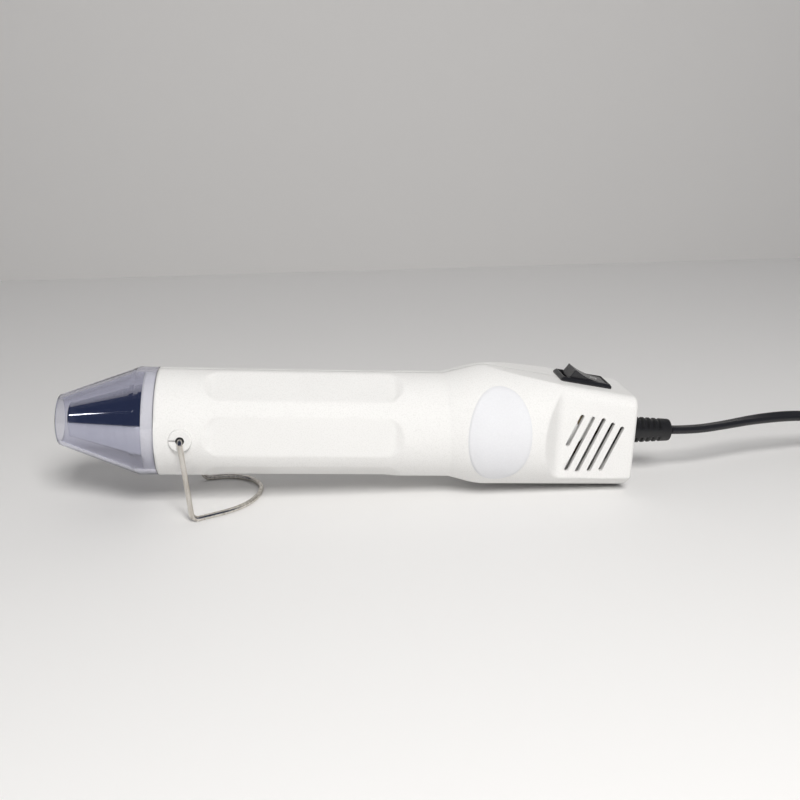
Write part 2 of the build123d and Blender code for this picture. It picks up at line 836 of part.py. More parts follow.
diode_x = board_start - diode_radius - seat_fit
with BuildPart() as rectifier_diodes:
    with BuildSketch(Plane.XZ.offset(-diode_length / 2)):
        with GridLocations(0, diode_radius + diode_length / 2, 1, 4):
            with Locations((diode_x, 0)):
                Circle(diode_radius)
    extrude(amount=diode_length)
finish(rectifier_diodes, "rectifier_diodes", seat)

# Internal leads: a pair from the heater to the board, and the mains pair along the housing's floor
with BuildPart() as heater_leads:
    for side in (-1, 1):
        with BuildLine() as route:
            FilletPolyline(
                (guard_parts_end + former_end_tab + seat_fit, side * heater_lead_spread, heater_lead_spread),
                (tube_start + tube_length, side * heater_lead_spread, heater_lead_spread),
                (diode_x - diode_radius - 2 * lead_bend, side * board_lead_spread, 0),
                (motor_front - tab_reach - seat_fit, side * board_lead_spread, 0),
                radius=lead_bend,
            )
        with BuildSketch(Plane(origin=route.wire() @ 0, z_dir=route.wire() % 0)):
            Circle(lead_radius)
        sweep(path=route.wire())
finish(heater_leads, "heater_leads", seat)

relief_flange_start = housing_rear - housing_wall - relief_flange_length - seat_fit
bulge_floor = bulge_rise - bulge_radius + housing_wall + lead_radius + seat_fit
barrel_floor = -bore_radius + lead_radius + 2 * seat_fit
flare_foot = bulge_start - (bulge_radius - housing_wall - bulge_rise - bore_radius) / flare_slope
lead_offset = lead_radius + seat_fit
with BuildPart() as mains_leads:
    for side in (-1, 1):
        with BuildLine() as route:
            FilletPolyline(
                (relief_flange_start - seat_fit, side * lead_offset, -relief_drop),
                (relief_flange_start - 2 * lead_bend, side * lead_offset, -relief_drop),
                (switch_x - bezel_length / 2, side * lead_offset, bulge_floor),
                (bulge_start + lead_bend / 2, side * lead_offset, bulge_floor),
                (flare_foot, side * lead_offset, barrel_floor),
                (motor_front - tab_reach, side * lead_offset, barrel_floor),
                (tube_start + tube_length + 2 * lead_bend, side * lead_offset, -tube_radius / 2),
                (guard_parts_end + former_end_tab + seat_fit, side * lead_offset, -tube_radius / 2),
                radius=lead_bend,
            )
        with BuildSketch(Plane(origin=route.wire() @ 0, z_dir=route.wire() % 0)):
            Circle(lead_radius)
        sweep(path=route.wire())
finish(mains_leads, "mains_leads", seat)

# Rocker switch, drawn in the sloping top's own plane: u runs to the rear and v stands off the top
bezel_face = top_plane.offset(bezel_height)
top_normal = Axis(top_plane.origin, top_plane.z_dir)
pivot_local = (0, 0, -rocker_pivot_depth)
with BuildPart() as switch_body:
    with BuildSketch(top_plane):
        RectangleRounded(bezel_length, bezel_width, bezel_corner)
    extrude(amount=bezel_height)
    upper = switch_body.faces().sort_by(top_normal)[-1].edges()
    chamfer(upper, length=bezel_bevel)
    with BuildSketch(top_plane):
        Rectangle(switch_body_length, switch_body_width)
    extrude(amount=-switch_body_depth)
    with BuildSketch(bezel_face):
        Rectangle(window_length, window_width)
    extrude(amount=-bezel_height - window_depth, mode=Mode.SUBTRACT)
    pivot_place = top_plane.from_local_coords(pivot_local)
    with BuildSketch(Plane(origin=pivot_place, x_dir=top_plane.x_dir, z_dir=(0, -1, 0))):
        Circle(rocker_pin_radius + bearing_clearance)
    extrude(amount=window_width / 2 + terminal_thickness, both=True, mode=Mode.SUBTRACT)
    with BuildSketch(top_plane.offset(-switch_body_depth)):
        with GridLocations(terminal_spacing, 0, 2, 1):
            Rectangle(terminal_thickness + 2 * slide_fit, terminal_width + 2 * slide_fit)
    extrude(amount=terminal_thickness, mode=Mode.SUBTRACT)
finish(switch_body, "switch_body", seat)

with BuildPart() as switch_terminals:
    with BuildSketch(top_plane.offset(-switch_body_depth + terminal_thickness)):
        with GridLocations(terminal_spacing, 0, 2, 1):
            Rectangle(terminal_thickness, terminal_width)
    extrude(amount=-terminal_length)
    tips = switch_terminals.faces().sort_by(top_normal)[:2].edges()
    chamfer(tips.filter_by(lambda edge: edge.length < terminal_width / 2), length=terminal_thickness)
finish(switch_terminals, "switch_terminals", seat)

# Rocker, tilted about its pin with the nose side up
rock = Plane(
    origin=top_plane.from_local_coords(pivot_local),
    x_dir=(cos(radians(top_slope + rocker_tilt)), 0, -sin(radians(top_slope + rocker_tilt))),
    z_dir=(0, -1, 0),
)
pin_lift = rocker_pivot_depth
with BuildPart() as switch_rocker:
    with BuildSketch(rock.offset(-rocker_width / 2)):
        with BuildLine():
            ThreePointArc(
                (-rocker_reach, rocker_crown + pin_lift),
                (-rocker_reach / 2, (rocker_crown + rocker_dip) / 2 - rocker_hollow + pin_lift),
                (0, rocker_dip + pin_lift),
            )
            ThreePointArc(
                (0, rocker_dip + pin_lift),
                (rocker_reach / 2, (rocker_crown + rocker_dip) / 2 - rocker_hollow + pin_lift),
                (rocker_reach, rocker_crown + pin_lift),
            )
            Polyline(
                (rocker_reach, rocker_crown + pin_lift),
                (rocker_shoulder, pin_lift - rocker_shoulder_drop),
                (rocker_foot, pin_lift - rocker_foot_drop),
                (-rocker_foot, pin_lift - rocker_foot_drop),
                (-rocker_shoulder, pin_lift - rocker_shoulder_drop),
                (-rocker_reach, rocker_crown + pin_lift),
            )
        make_face()
    extrude(amount=rocker_width)
    with BuildSketch(rock.offset(-window_width / 2 - terminal_thickness + running_gap / 2)):
        Circle(rocker_pin_radius)
    extrude(amount=window_width + 2 * terminal_thickness - running_gap)
finish(switch_rocker, "switch_rocker", seat)

# Strain relief: a ribbed sleeve with a neck in the rear wall and a flange inside it
spine_height = 2 * relief_root_radius + relief_spine_width
with BuildPart() as strain_relief:
    with BuildSketch(Plane.XZ):
        with BuildLine():
            Polyline(
                (relief_flange_start, 0),
                (relief_flange_start, relief_flange_radius),
                (relief_flange_start + relief_flange_length, relief_flange_radius),
                (relief_flange_start + relief_flange_length, relief_neck_radius),
                (housing_rear + slide_fit, relief_neck_radius),
                (housing_rear + slide_fit, relief_root_radius),
                (relief_end, relief_end_radius),
                (relief_end, 0),
                close=True,
            )
        make_face()
    revolve(axis=axis)
    tip = strain_relief.edges().sort_by(Axis.X)[-1]
    fillet(tip, radius=relief_end_round)
    for count in range(relief_rib_count):
        start = housing_rear + relief_rib_pitch * (count + 1) - relief_notch_width
        for side in (-1, 1):
            with BuildSketch(across(start)):
                Circle(relief_root_radius + seam_gap)
                Circle(relief_root_radius - relief_notch_depth - count * seat_fit, mode=Mode.SUBTRACT)
                with Locations((0, -side * relief_root_radius)):
                    Rectangle(3 * relief_root_radius, spine_height, mode=Mode.SUBTRACT)
            extrude(amount=relief_notch_width, mode=Mode.SUBTRACT)
strain_relief.part = strain_relief.part.moved(Location((0, 0, -relief_drop)))
finish(strain_relief, "strain_relief", seat)

# Housing screws, with their heads in the wells of the far half
screw_list = [(x, z, barrel_head_seat, barrel_screw_length) for x, z in barrel_screws]
screw_list.append((*rear_screw, rear_head_seat, rear_screw_length))
with BuildPart() as housing_screws:
    for x, z, head, length in screw_list:
        with BuildSketch(outward(1, head)):
            with Locations((-x, z)):
                Circle(screw_head_radius)
        extrude(amount=screw_head_height)
        with BuildSketch(outward(1, head)):
            with Locations((-x, z)):
                Circle(screw_radius)
        extrude(amount=-length)
    circles = housing_screws.edges().filter_by(GeomType.CIRCLE)
    for seat_y in (barrel_head_seat, rear_head_seat):
        rims = circles.filter_by_position(Axis.Y, seat_y + screw_head_height, seat_y + screw_head_height)
        fillet(rims, radius=screw_head_height / 3)
finish(housing_screws, "housing_screws", seat)

# Wire stand: pins in the bosses, two legs and a foot loop that lies flat, drawn level from its pivot
leg_spread = boss_face + running_gap + wire_radius
pin_bend = running_gap + wire_radius
stand_points = [
    (0, pin_reach - boss_face, 0),
    (0, -leg_spread, 0),
    (leg_lean, -foot_near_spread, -leg_drop),
    (leg_lean + foot_depth, foot_near_rise - foot_near_spread, -leg_drop),
    (leg_lean + foot_depth, foot_far_rise + foot_far_spread, -leg_drop),
    (leg_lean, foot_far_spread, -leg_drop),
    (0, leg_spread, 0),
    (0, boss_face - pin_reach, 0),
]
stand_bends = [pin_bend, wire_bend, foot_near_bend, foot_far_bend, wire_bend, pin_bend]
with BuildPart() as wire_stand:
    with BuildLine() as stand_line:
        FilletPolyline(stand_points, radius=stand_bends)
    with BuildSketch(Plane(origin=stand_line.wire() @ 0, z_dir=stand_line.wire() % 0)):
        Circle(wire_radius)
    sweep(path=stand_line.wire())
pivot_point = seated(pivot_x, 0, -pivot_drop)
finish(wire_stand, "wire_stand", Location(pivot_point))


# The cord's free stretches: straight runs joined by arcs as large as the runs allow
def corner_radii(points):
    """Radius of the arc at each inner corner of a route."""
    radii = []
    for before, corner, after in zip(points, points[1:], points[2:]):
        first = corner - before
        second = after - corner
        turn = radians(first.get_angle(second))
        radii.append(cord_arc_share * min(first.length, second.length) / tan(turn / 2))
    return radii


def cord_run(points, name):
    """A stretch of the flat cord along a route, its wide side level."""
    radii = corner_radii(points)
    with BuildPart() as stretch:
        with BuildLine() as route:
            FilletPolyline(points, radius=radii)
        start = (points[1] - points[0]).normalized()
        side = start.cross(Vector(0, 0, 1)).normalized()
        with BuildSketch(Plane(origin=points[0], x_dir=side, z_dir=start)):
            SlotOverall(cord_width, cord_thickness)
        sweep(path=route.wire())
    length = route.wire().length
    section = cord_thickness * (cord_width - cord_thickness) + pi * (cord_thickness / 2) ** 2
    print(name, "radii", [round(radius, 1) for radius in radii], "length", round(length, 1))
    print(name, "volume", round(stretch.part.volume, 1), "section times length", round(section * length, 1))
    return stretch, length


exit_point = seated(relief_end, 0, -relief_drop)
exit_way = Vector(cos(tilt), 0, -sin(tilt))
layer_rise = cord_thickness + cord_coil_gap
turn_step = cord_width + cord_coil_gap
lower_z = cord_thickness / 2 + tie_thickness + cord_coil_gap
upper_z = lower_z + layer_rise * (cord_coil_layers - 1)


def cord_turn(step):
    """Point and direction of the coil at each quarter turn: in and out in turn, layer on layer."""
    layer, place = divmod(step, 4 * cord_layer_turns)
    fold = place if layer % 2 == 0 else 4 * cord_layer_turns - place
    radius = cord_coil_radius - turn_step * fold / 4
    angle = radians(cord_coil_start) - pi * step / 2
    turns_back = place == 0 and 0 < layer < cord_coil_layers
    climb = layer - 1 / 2 if turns_back else min(layer, cord_coil_layers - 1)
    rise = 3 * layer_rise / (2 * pi) if turns_back else 0
    drift = 0 if place == 0 else turn_step / (2 * pi) * (1 if layer % 2 else -1)
    height = lower_z + layer_rise * climb
    point = Vector(cord_coil_x + radius * cos(angle), cord_coil_y + radius * sin(angle), height)
    way = Vector(radius * sin(angle) + drift * cos(angle), drift * sin(angle) - radius * cos(angle), rise)
    return point, way.normalized()


coil_steps = 4 * cord_layer_turns * cord_coil_layers
coil_begin, coil_way = cord_turn(0)
coil_end = cord_turn(coil_steps)[0]
lead_points = [exit_point, exit_point + exit_way * cord_exit_run]
lead_points += [Vector(*point) for point in cord_lead_points]
lead_points += [coil_begin - coil_way * cord_touch_run, coil_begin]
cord_lead, lead_length = cord_run(lead_points, "cord_lead")
finish(cord_lead, "cord_lead", Location())

with BuildPart() as cord_coil:
    with BuildLine() as coil_line:
        wound(cord_turn, coil_steps)
    with BuildSketch(Plane(origin=coil_begin, x_dir=coil_way.cross(Vector(0, 0, 1)), z_dir=coil_way)):
        SlotOverall(cord_width, cord_thickness)
    sweep(path=coil_line.wire(), is_frenet=True)
wound_length = coil_line.wire().length
finish(cord_coil, "cord_coil", Location())

# The coil's least gap to itself, between points a quarter turn or more apart
coil_samples = coil_checks_per_turn * cord_layer_turns * cord_coil_layers
spots = [coil_line.wire() @ (count / coil_samples) for count in range(coil_samples + 1)]
least_gap = cord_coil_radius
for count, spot in enumerate(spots):
    for other in spots[count + coil_checks_per_turn // 4 :]:
        level = hypot(spot.X - other.X, spot.Y - other.Y)
        beside = max(0, level - cord_width + cord_thickness)
        least_gap = min(least_gap, hypot(beside, spot.Z - other.Z) - cord_thickness)
print("coil least gap to itself", round(least_gap, 2), "length", round(wound_length, 1))

bundle_top = upper_z + cord_thickness / 2 + cord_coil_gap
plug_floor = bundle_top + tie_thickness + seat_fit
plug_start = Vector(plug_x, cord_tail_points[-1][1], plug_floor + plug_thickness / 2)
tail_points = [coil_end] + [Vector(*point) for point in cord_tail_points]
tail_points[-1] = Vector(tail_points[-1].X, tail_points[-1].Y, plug_start.Z)
tail_points.append(plug_start)
cord_tail, tail_length = cord_run(tail_points, "cord_tail")
finish(cord_tail, "cord_tail", Location())
print("cord length", round(lead_length + wound_length + tail_length, 1))

# Strap round the coil's bundle
bundle_inner = cord_coil_radius - turn_step * cord_layer_turns - cord_width / 2 - cord_coil_gap
bundle_outer = cord_coil_radius + cord_width / 2 + cord_coil_gap
bundle_width = bundle_outer - bundle_inner
with BuildPart() as coil_tie:
    with BuildSketch(Plane.YZ.offset(cord_coil_x - tie_width / 2)):
        with Locations((cord_coil_y - (bundle_inner + bundle_outer) / 2, (bundle_top + tie_thickness) / 2)):
            RectangleRounded(bundle_width + 2 * tie_thickness, bundle_top + tie_thickness, tie_thickness)
            Rectangle(bundle_width, bundle_top - tie_thickness, mode=Mode.SUBTRACT)
    extrude(amount=tie_width)
finish(coil_tie, "coil_tie", Location())

# Plug body and pins
plug_way = Vector(-1, 0, 0)
plug_plane = Plane(origin=plug_start, x_dir=plug_way.cross(Vector(0, 0, 1)), z_dir=plug_way)
with BuildPart() as plug_body:
    with BuildSketch(plug_plane):
        RectangleRounded(plug_tail_width, plug_tail_thickness, plug_corner)
    with BuildSketch(plug_plane.offset(plug_length - plug_shoulder)):
        RectangleRounded(plug_width, plug_thickness, plug_corner)
    loft(ruled=True)
    with BuildSketch(plug_plane.offset(plug_length - plug_shoulder)):
        RectangleRounded(plug_width, plug_thickness, plug_corner)
    with BuildSketch(plug_plane.offset(plug_length)):
        RectangleRounded(plug_face_width, plug_face_thickness, plug_corner)
    loft(ruled=True)
finish(plug_body, "plug_body", Location())

with BuildPart() as plug_pins:
    with BuildSketch(plug_plane.offset(plug_length)):
        with GridLocations(pin_spacing, 0, 2, 1):
            Circle(pin_sleeve_radius)
    extrude(amount=pin_sleeve_length)
    with BuildSketch(plug_plane.offset(plug_length + pin_sleeve_length)):
        with GridLocations(pin_spacing, 0, 2, 1):
            Circle(pin_radius)
    extrude(amount=pin_length - pin_sleeve_length)
    tips = plug_pins.edges().filter_by(GeomType.CIRCLE).group_by(Axis.X)[0]
    fillet(tips, radius=pin_radius * 3 / 4)
finish(plug_pins, "plug_pins", Location())

print("stand pivot", pivot_point, "rocker pivot", seated(*top_plane.from_local_coords(pivot_local)))
print("exit", exit_point, "outlet", seated(0, 0, 0), "fan", seated(fan_start, 0, 0))
print("tilt", round(degrees(tilt), 3), "shift", round(shift, 3), "lift", round(lift, 3))
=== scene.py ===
import json
from math import cos, pi, radians, sin

import bmesh
import bpy
from mathutils import Matrix, Vector
from mathutils.bvhtree import BVHTree


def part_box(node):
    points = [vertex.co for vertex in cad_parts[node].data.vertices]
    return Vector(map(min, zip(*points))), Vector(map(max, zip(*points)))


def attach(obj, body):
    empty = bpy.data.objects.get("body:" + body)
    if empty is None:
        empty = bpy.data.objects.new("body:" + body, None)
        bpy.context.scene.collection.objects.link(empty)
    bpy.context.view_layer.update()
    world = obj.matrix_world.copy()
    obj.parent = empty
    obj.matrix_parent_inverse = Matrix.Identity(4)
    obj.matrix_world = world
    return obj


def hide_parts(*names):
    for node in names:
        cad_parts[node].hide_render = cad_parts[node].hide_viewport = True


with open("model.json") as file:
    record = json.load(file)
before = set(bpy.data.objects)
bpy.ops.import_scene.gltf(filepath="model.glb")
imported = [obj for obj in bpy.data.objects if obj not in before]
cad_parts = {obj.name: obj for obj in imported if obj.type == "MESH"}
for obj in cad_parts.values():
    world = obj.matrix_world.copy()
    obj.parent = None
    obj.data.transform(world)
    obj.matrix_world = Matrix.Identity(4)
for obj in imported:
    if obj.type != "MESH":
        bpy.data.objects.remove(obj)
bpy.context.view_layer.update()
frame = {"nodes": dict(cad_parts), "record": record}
nodes = frame["nodes"]
scene = bpy.context.scene
scene.view_settings.view_transform = "Standard"

# Camera: the photograph's place, height and lens
camera_place = (-0.022676, -0.375751, 0.149373)
camera_yaw = 5.074
camera_pitch = 16.427
camera_roll = -0.861
lens_length = 44.625
sensor_size = 36.0

lens = bpy.data.cameras.new("photo_lens")
lens.sensor_width = sensor_size
lens.lens = lens_length
lens.clip_start = 0.01
camera = bpy.data.objects.new("photo_camera", lens)
turn = Matrix.Rotation(radians(-camera_yaw), 4, "Z") @ Matrix.Rotation(radians(90 - camera_pitch), 4, "X")
camera.matrix_world = Matrix.Translation(camera_place) @ turn @ Matrix.Rotation(radians(camera_roll), 4, "Z")
scene.collection.objects.link(camera)
scene.camera = camera

# The tool's own axis: where the guard's rim lies, and how far the nose is up
tool_tilt = radians(3.081)
tool_shift = -0.120982
tool_lift = 0.035768


def seated(x, y, z):
    """A point of the level tool, in metres, where the tool rests on its stand."""
    return Vector((
        x * cos(tool_tilt) + z * sin(tool_tilt) + tool_shift, y, z * cos(tool_tilt) - x * sin(tool_tilt) + tool_lift,
    ))


# Cord: the same route as the source's, in metres
cord_width = 0.0049
cord_thickness = 0.003
coil_centre = (0.256, 0.0094)
coil_radius = 0.0314
coil_layers = 4
layer_turns = 2
coil_gap = 0.0006
strap_thickness = 0.0007
lower_layer = cord_thickness / 2 + strap_thickness + coil_gap
layer_rise = cord_thickness + coil_gap
turn_step = cord_width + coil_gap
points_per_turn = 16
plug_place = (0.256, -0.0136, 0.02335)
exit_point = (0.121265, 0.0, 0.020826)
lead_route = [
    exit_point,
    (0.131251, 0.0, 0.020289),
    (0.146, 0.0034, 0.0206),
    (0.163, 0.0088, 0.021),
    (0.182, 0.0126, 0.0206),
    (0.199, 0.0176, 0.0172),
    (0.216, 0.0285, 0.0084),
    (0.236, 0.0408, lower_layer),
]
tail_route = [
    (0.2874, 0.0408, 0.0152),
    (0.3031, 0.0136, 0.0188),
    (0.2874, -0.0136, 0.02335),
    plug_place,
]


def coil_route():
    """Control points of the coil: inwards and outwards in turn, one layer on another."""
    points = []
    stretch = 1 / cos(pi / points_per_turn)
    for step in range(coil_layers * layer_turns * points_per_turn + 1):
        turns = step / points_per_turn
        layer, inward = divmod(turns, layer_turns)
        fold = inward if layer % 2 == 0 else layer_turns - inward
        climb = 0
        for reversal in range(1, coil_layers):
            share = min(1, max(0, 2 * (turns - reversal * layer_turns) + 1 / 2))
            climb += share * share * (3 - 2 * share)
        angle = pi / 2 - 2 * pi * turns
        radius = (coil_radius - turn_step * fold) * stretch
        height = lower_layer + layer_rise * climb
        points.append((coil_centre[0] + radius * cos(angle), coil_centre[1] + radius * sin(angle), height))
    return points


def spline_points(route):
    """Points read along the route's smooth spline."""
    curve = bpy.data.curves.new("cord_line", "CURVE")
    curve.dimensions = "3D"
    curve.resolution_u = 6
    spline = curve.splines.new("NURBS")
    spline.points.add(len(route) - 1)
    for point, place in zip(spline.points, route):
        point.co = (*place, 1)
    spline.order_u = 3
    spline.use_endpoint_u = True
    line = bpy.data.objects.new("cord_line", curve)
    scene.collection.objects.link(line)
    mesh = bpy.data.meshes.new_from_object(line)
    points = [vertex.co.copy() for vertex in mesh.vertices]
    bpy.data.objects.remove(line)
    return points


cord_path = spline_points(lead_route + coil_route() + tail_route)


round_steps = 8
waist_share = 0.44


def twin_section():
    """Half round sides joined by flats with a shallow waist between the two cores."""
    ring = []
    half = (cord_width - cord_thickness) / 2
    for side, first in ((1, -90), (-1, 90)):
        for step in range(round_steps + 1):
            angle = radians(first + 180 * step / round_steps)
            ring.append((side * half + cord_thickness / 2 * cos(angle), cord_thickness / 2 * sin(angle)))
        ring.append((0, side * cord_thickness * waist_share))
    return ring


# The cord turns its wide side to the front a little way out and lies flat again before the coil
roll_angle = 34
roll_starts = 0.022
roll_full = 0.058
roll_eases = 0.085
roll_ends = 0.125


def eased(low, high, value):
    """Rises smoothly from 0 to 1 between low and high."""
    share = min(1, max(0, (value - low) / (high - low)))
    return share * share * (3 - 2 * share)


def tube(name, path, section):
    """A mesh tube along a path, its section level except where the cord rolls."""
    mesh = bpy.data.meshes.new(name)
    shape = bmesh.new()
    rings = []
    runs = [0.0]
    for before, after in zip(path, path[1:]):
        runs.append(runs[-1] + (after - before).length)
    for count, point in enumerate(path):
        ahead = path[min(count + 1, len(path) - 1)] - path[max(count - 1, 0)]
        way = ahead.normalized()
        side = way.cross(Vector((0, 0, 1))).normalized()
        up = side.cross(way).normalized()
        turned = eased(roll_starts, roll_full, runs[count]) - eased(roll_eases, roll_ends, runs[count])
        roll = radians(-roll_angle) * turned
        wide = side * cos(roll) + up * sin(roll)
        thin = up * cos(roll) - side * sin(roll)
        rings.append([shape.verts.new(point + wide * x + thin * y) for x, y in section])
    uv = shape.loops.layers.uv.new("UVMap")
    size = len(section)
    for row, (ring, after) in enumerate(zip(rings, rings[1:])):
        for count in range(size):
            following = (count + 1) % size
            face = shape.faces.new((ring[count], ring[following], after[following], after[count]))
            places = ((count, row), (count + 1, row), (count + 1, row + 1), (count, row + 1))
            for loop, (across, along) in zip(face.loops, places):
                loop[uv].uv = (across / size, runs[along])
            face.smooth = True
    shape.faces.new(rings[0][::-1])
    shape.faces.new(rings[-1])
    bmesh.ops.recalc_face_normals(shape, faces=shape.faces)
    shape.to_mesh(mesh)
    shape.free()
    piece = bpy.data.objects.new(name, mesh)
    scene.collection.objects.link(piece)
    return piece


cord = tube("mains_cord", cord_path, twin_section())


# Finishes: the part of a noise that is used, and how a broad cloud shades a finish
noise_low = 0.3
noise_high = 0.7
cloud_shade = 0.94
cloud_share = 0.35
crisp_fade = 1.15
crisp_share = 0.2
bevel_samples = 8
edge_on_blend = 0.2


def noise(tree, place, scale, detail, stretch, tilt=0.0):
    """Noise on the piece's own coordinates, drawn out along an axis where stretch says so."""
    mapping = tree.nodes.new("ShaderNodeMapping")
    mapping.inputs["Scale"].default_value = stretch
    mapping.inputs["Rotation"].default_value = (0, tilt, 0)
    tree.links.new(place, mapping.inputs["Vector"])
    texture = tree.nodes.new("ShaderNodeTexNoise")
    texture.inputs["Scale"].default_value = scale
    texture.inputs["Detail"].default_value = detail
    tree.links.new(mapping.outputs["Vector"], texture.inputs["Vector"])
    return texture.outputs["Fac"]


def blended(tree, factor, low_colour, high_colour, low, high):
    """Two colours mixed by a factor between its low and high values."""
    ramp = tree.nodes.new("ShaderNodeValToRGB")
    ramp.color_ramp.elements[0].position = low
    ramp.color_ramp.elements[0].color = (*low_colour, 1)
    ramp.color_ramp.elements[1].position = high
    ramp.color_ramp.elements[1].color = (*high_colour, 1)
    tree.links.new(factor, ramp.inputs["Fac"])
    return ramp.outputs["Color"]


def mixed(tree, factor, first, second):
    """Two colour outputs mixed by a factor output or a plain number."""
    mix = tree.nodes.new("ShaderNodeMix")
    mix.data_type = "RGBA"
    if isinstance(factor, float):
        mix.inputs["Factor"].default_value = factor
    else:
        tree.links.new(factor, mix.inputs["Factor"])
    tree.links.new(first, mix.inputs["A"])
    tree.links.new(second, mix.inputs["B"])
    return mix.outputs["Result"]


def spread(tree, factor, low, high):
    """A factor's middle range laid over low to high."""
    reach = tree.nodes.new("ShaderNodeMapRange")
    reach.inputs["From Min"].default_value = noise_low
    reach.inputs["From Max"].default_value = noise_high
    reach.inputs["To Min"].default_value = low
    reach.inputs["To Max"].default_value = high
    tree.links.new(factor, reach.inputs["Value"])
    return reach.outputs["Result"]


def softness(tree, place, edge, crisp):
    """How far an edge is softened: little near the crisp places, each a centre with its reach."""
    factor = None
    for centre, reach in crisp:
        level = tree.nodes.new("ShaderNodeVectorMath")
        level.operation = "MULTIPLY"
        level.inputs[1].default_value = (1, 0, 1)
        tree.links.new(place, level.inputs[0])
        away = tree.nodes.new("ShaderNodeVectorMath")
        away.operation = "DISTANCE"
        away.inputs[1].default_value = centre
        tree.links.new(level.outputs["Vector"], away.inputs[0])
        rise = tree.nodes.new("ShaderNodeMapRange")
        rise.inputs["From Min"].default_value = reach
        rise.inputs["From Max"].default_value = reach * crisp_fade
        rise.inputs["To Min"].default_value = edge * crisp_share
        rise.inputs["To Max"].default_value = edge
        tree.links.new(away.outputs["Value"], rise.inputs["Value"])
        if factor is None:
            factor = rise.outputs["Result"]
        else:
            least = tree.nodes.new("ShaderNodeMath")
            least.operation = "MINIMUM"
            tree.links.new(factor, least.inputs[0])
            tree.links.new(rise.outputs["Result"], least.inputs[1])
            factor = least.outputs["Value"]
    return factor


def surface(
    name, light, dark, grain, gloss, relief, stretch=(1, 1, 1), detail=3.0, edge=0.0, lean=0.0, uv=False,
    cloud=0.06, window=(0.32, 0.68), crisp=(), edge_on_tint_and_reflection=None, **fixed,
):
    """A finish whose colour, gloss and relief follow one grain, with a broad unevenness over it.

    An edge softens the shape's corners, and an edge-on colour darkens clear plastic seen edge on: partly its tint
    through more plastic, partly a painted dark reflection.
    """
    material = bpy.data.materials.new(name)
    material.use_nodes = True
    tree = material.node_tree
    shader = tree.nodes["Principled BSDF"]
    place = tree.nodes.new("ShaderNodeTexCoord").outputs["UV" if uv else "Object"]
    fine = noise(tree, place, grain, detail, stretch, lean)
    broad = noise(tree, place, grain * cloud, 2.0, stretch, lean)
    colour = blended(tree, fine, dark, light, *window)
    shaded = tuple(cloud_shade * value for value in light)
    toned = blended(tree, broad, shaded, light, noise_low, noise_high)
    colour = mixed(tree, cloud_share, colour, toned)
    # Painted dark reflection: clear plastic seen edge on turns navy, partly its real tint deepening through more
    # plastic
    if edge_on_tint_and_reflection:
        facing = tree.nodes.new("ShaderNodeLayerWeight")
        facing.inputs["Blend"].default_value = edge_on_blend
        tinted_and_reflected = tree.nodes.new("ShaderNodeMix")
        tinted_and_reflected.data_type = "RGBA"
        tree.links.new(facing.outputs["Facing"], tinted_and_reflected.inputs["Factor"])
        tree.links.new(colour, tinted_and_reflected.inputs["A"])
        tinted_and_reflected.inputs["B"].default_value = (*edge_on_tint_and_reflection, 1)
        colour = tinted_and_reflected.outputs["Result"]
    tree.links.new(colour, shader.inputs["Base Color"])
    tree.links.new(spread(tree, broad, *gloss), shader.inputs["Roughness"])
    bump = tree.nodes.new("ShaderNodeBump")
    bump.inputs["Strength"].default_value = 1.0
    bump.inputs["Distance"].default_value = relief
    tree.links.new(fine, bump.inputs["Height"])
    if edge:
        bevel = tree.nodes.new("ShaderNodeBevel")
        bevel.samples = bevel_samples
        bevel.inputs["Radius"].default_value = edge
        if crisp:
            tree.links.new(softness(tree, place, edge, crisp), bevel.inputs["Radius"])
        tree.links.new(bevel.outputs["Normal"], bump.inputs["Normal"])
    tree.links.new(bump.outputs["Normal"], shader.inputs["Normal"])
    for socket, value in fixed.items():
        shader.inputs[socket.replace("_", " ")].default_value = value
    return material


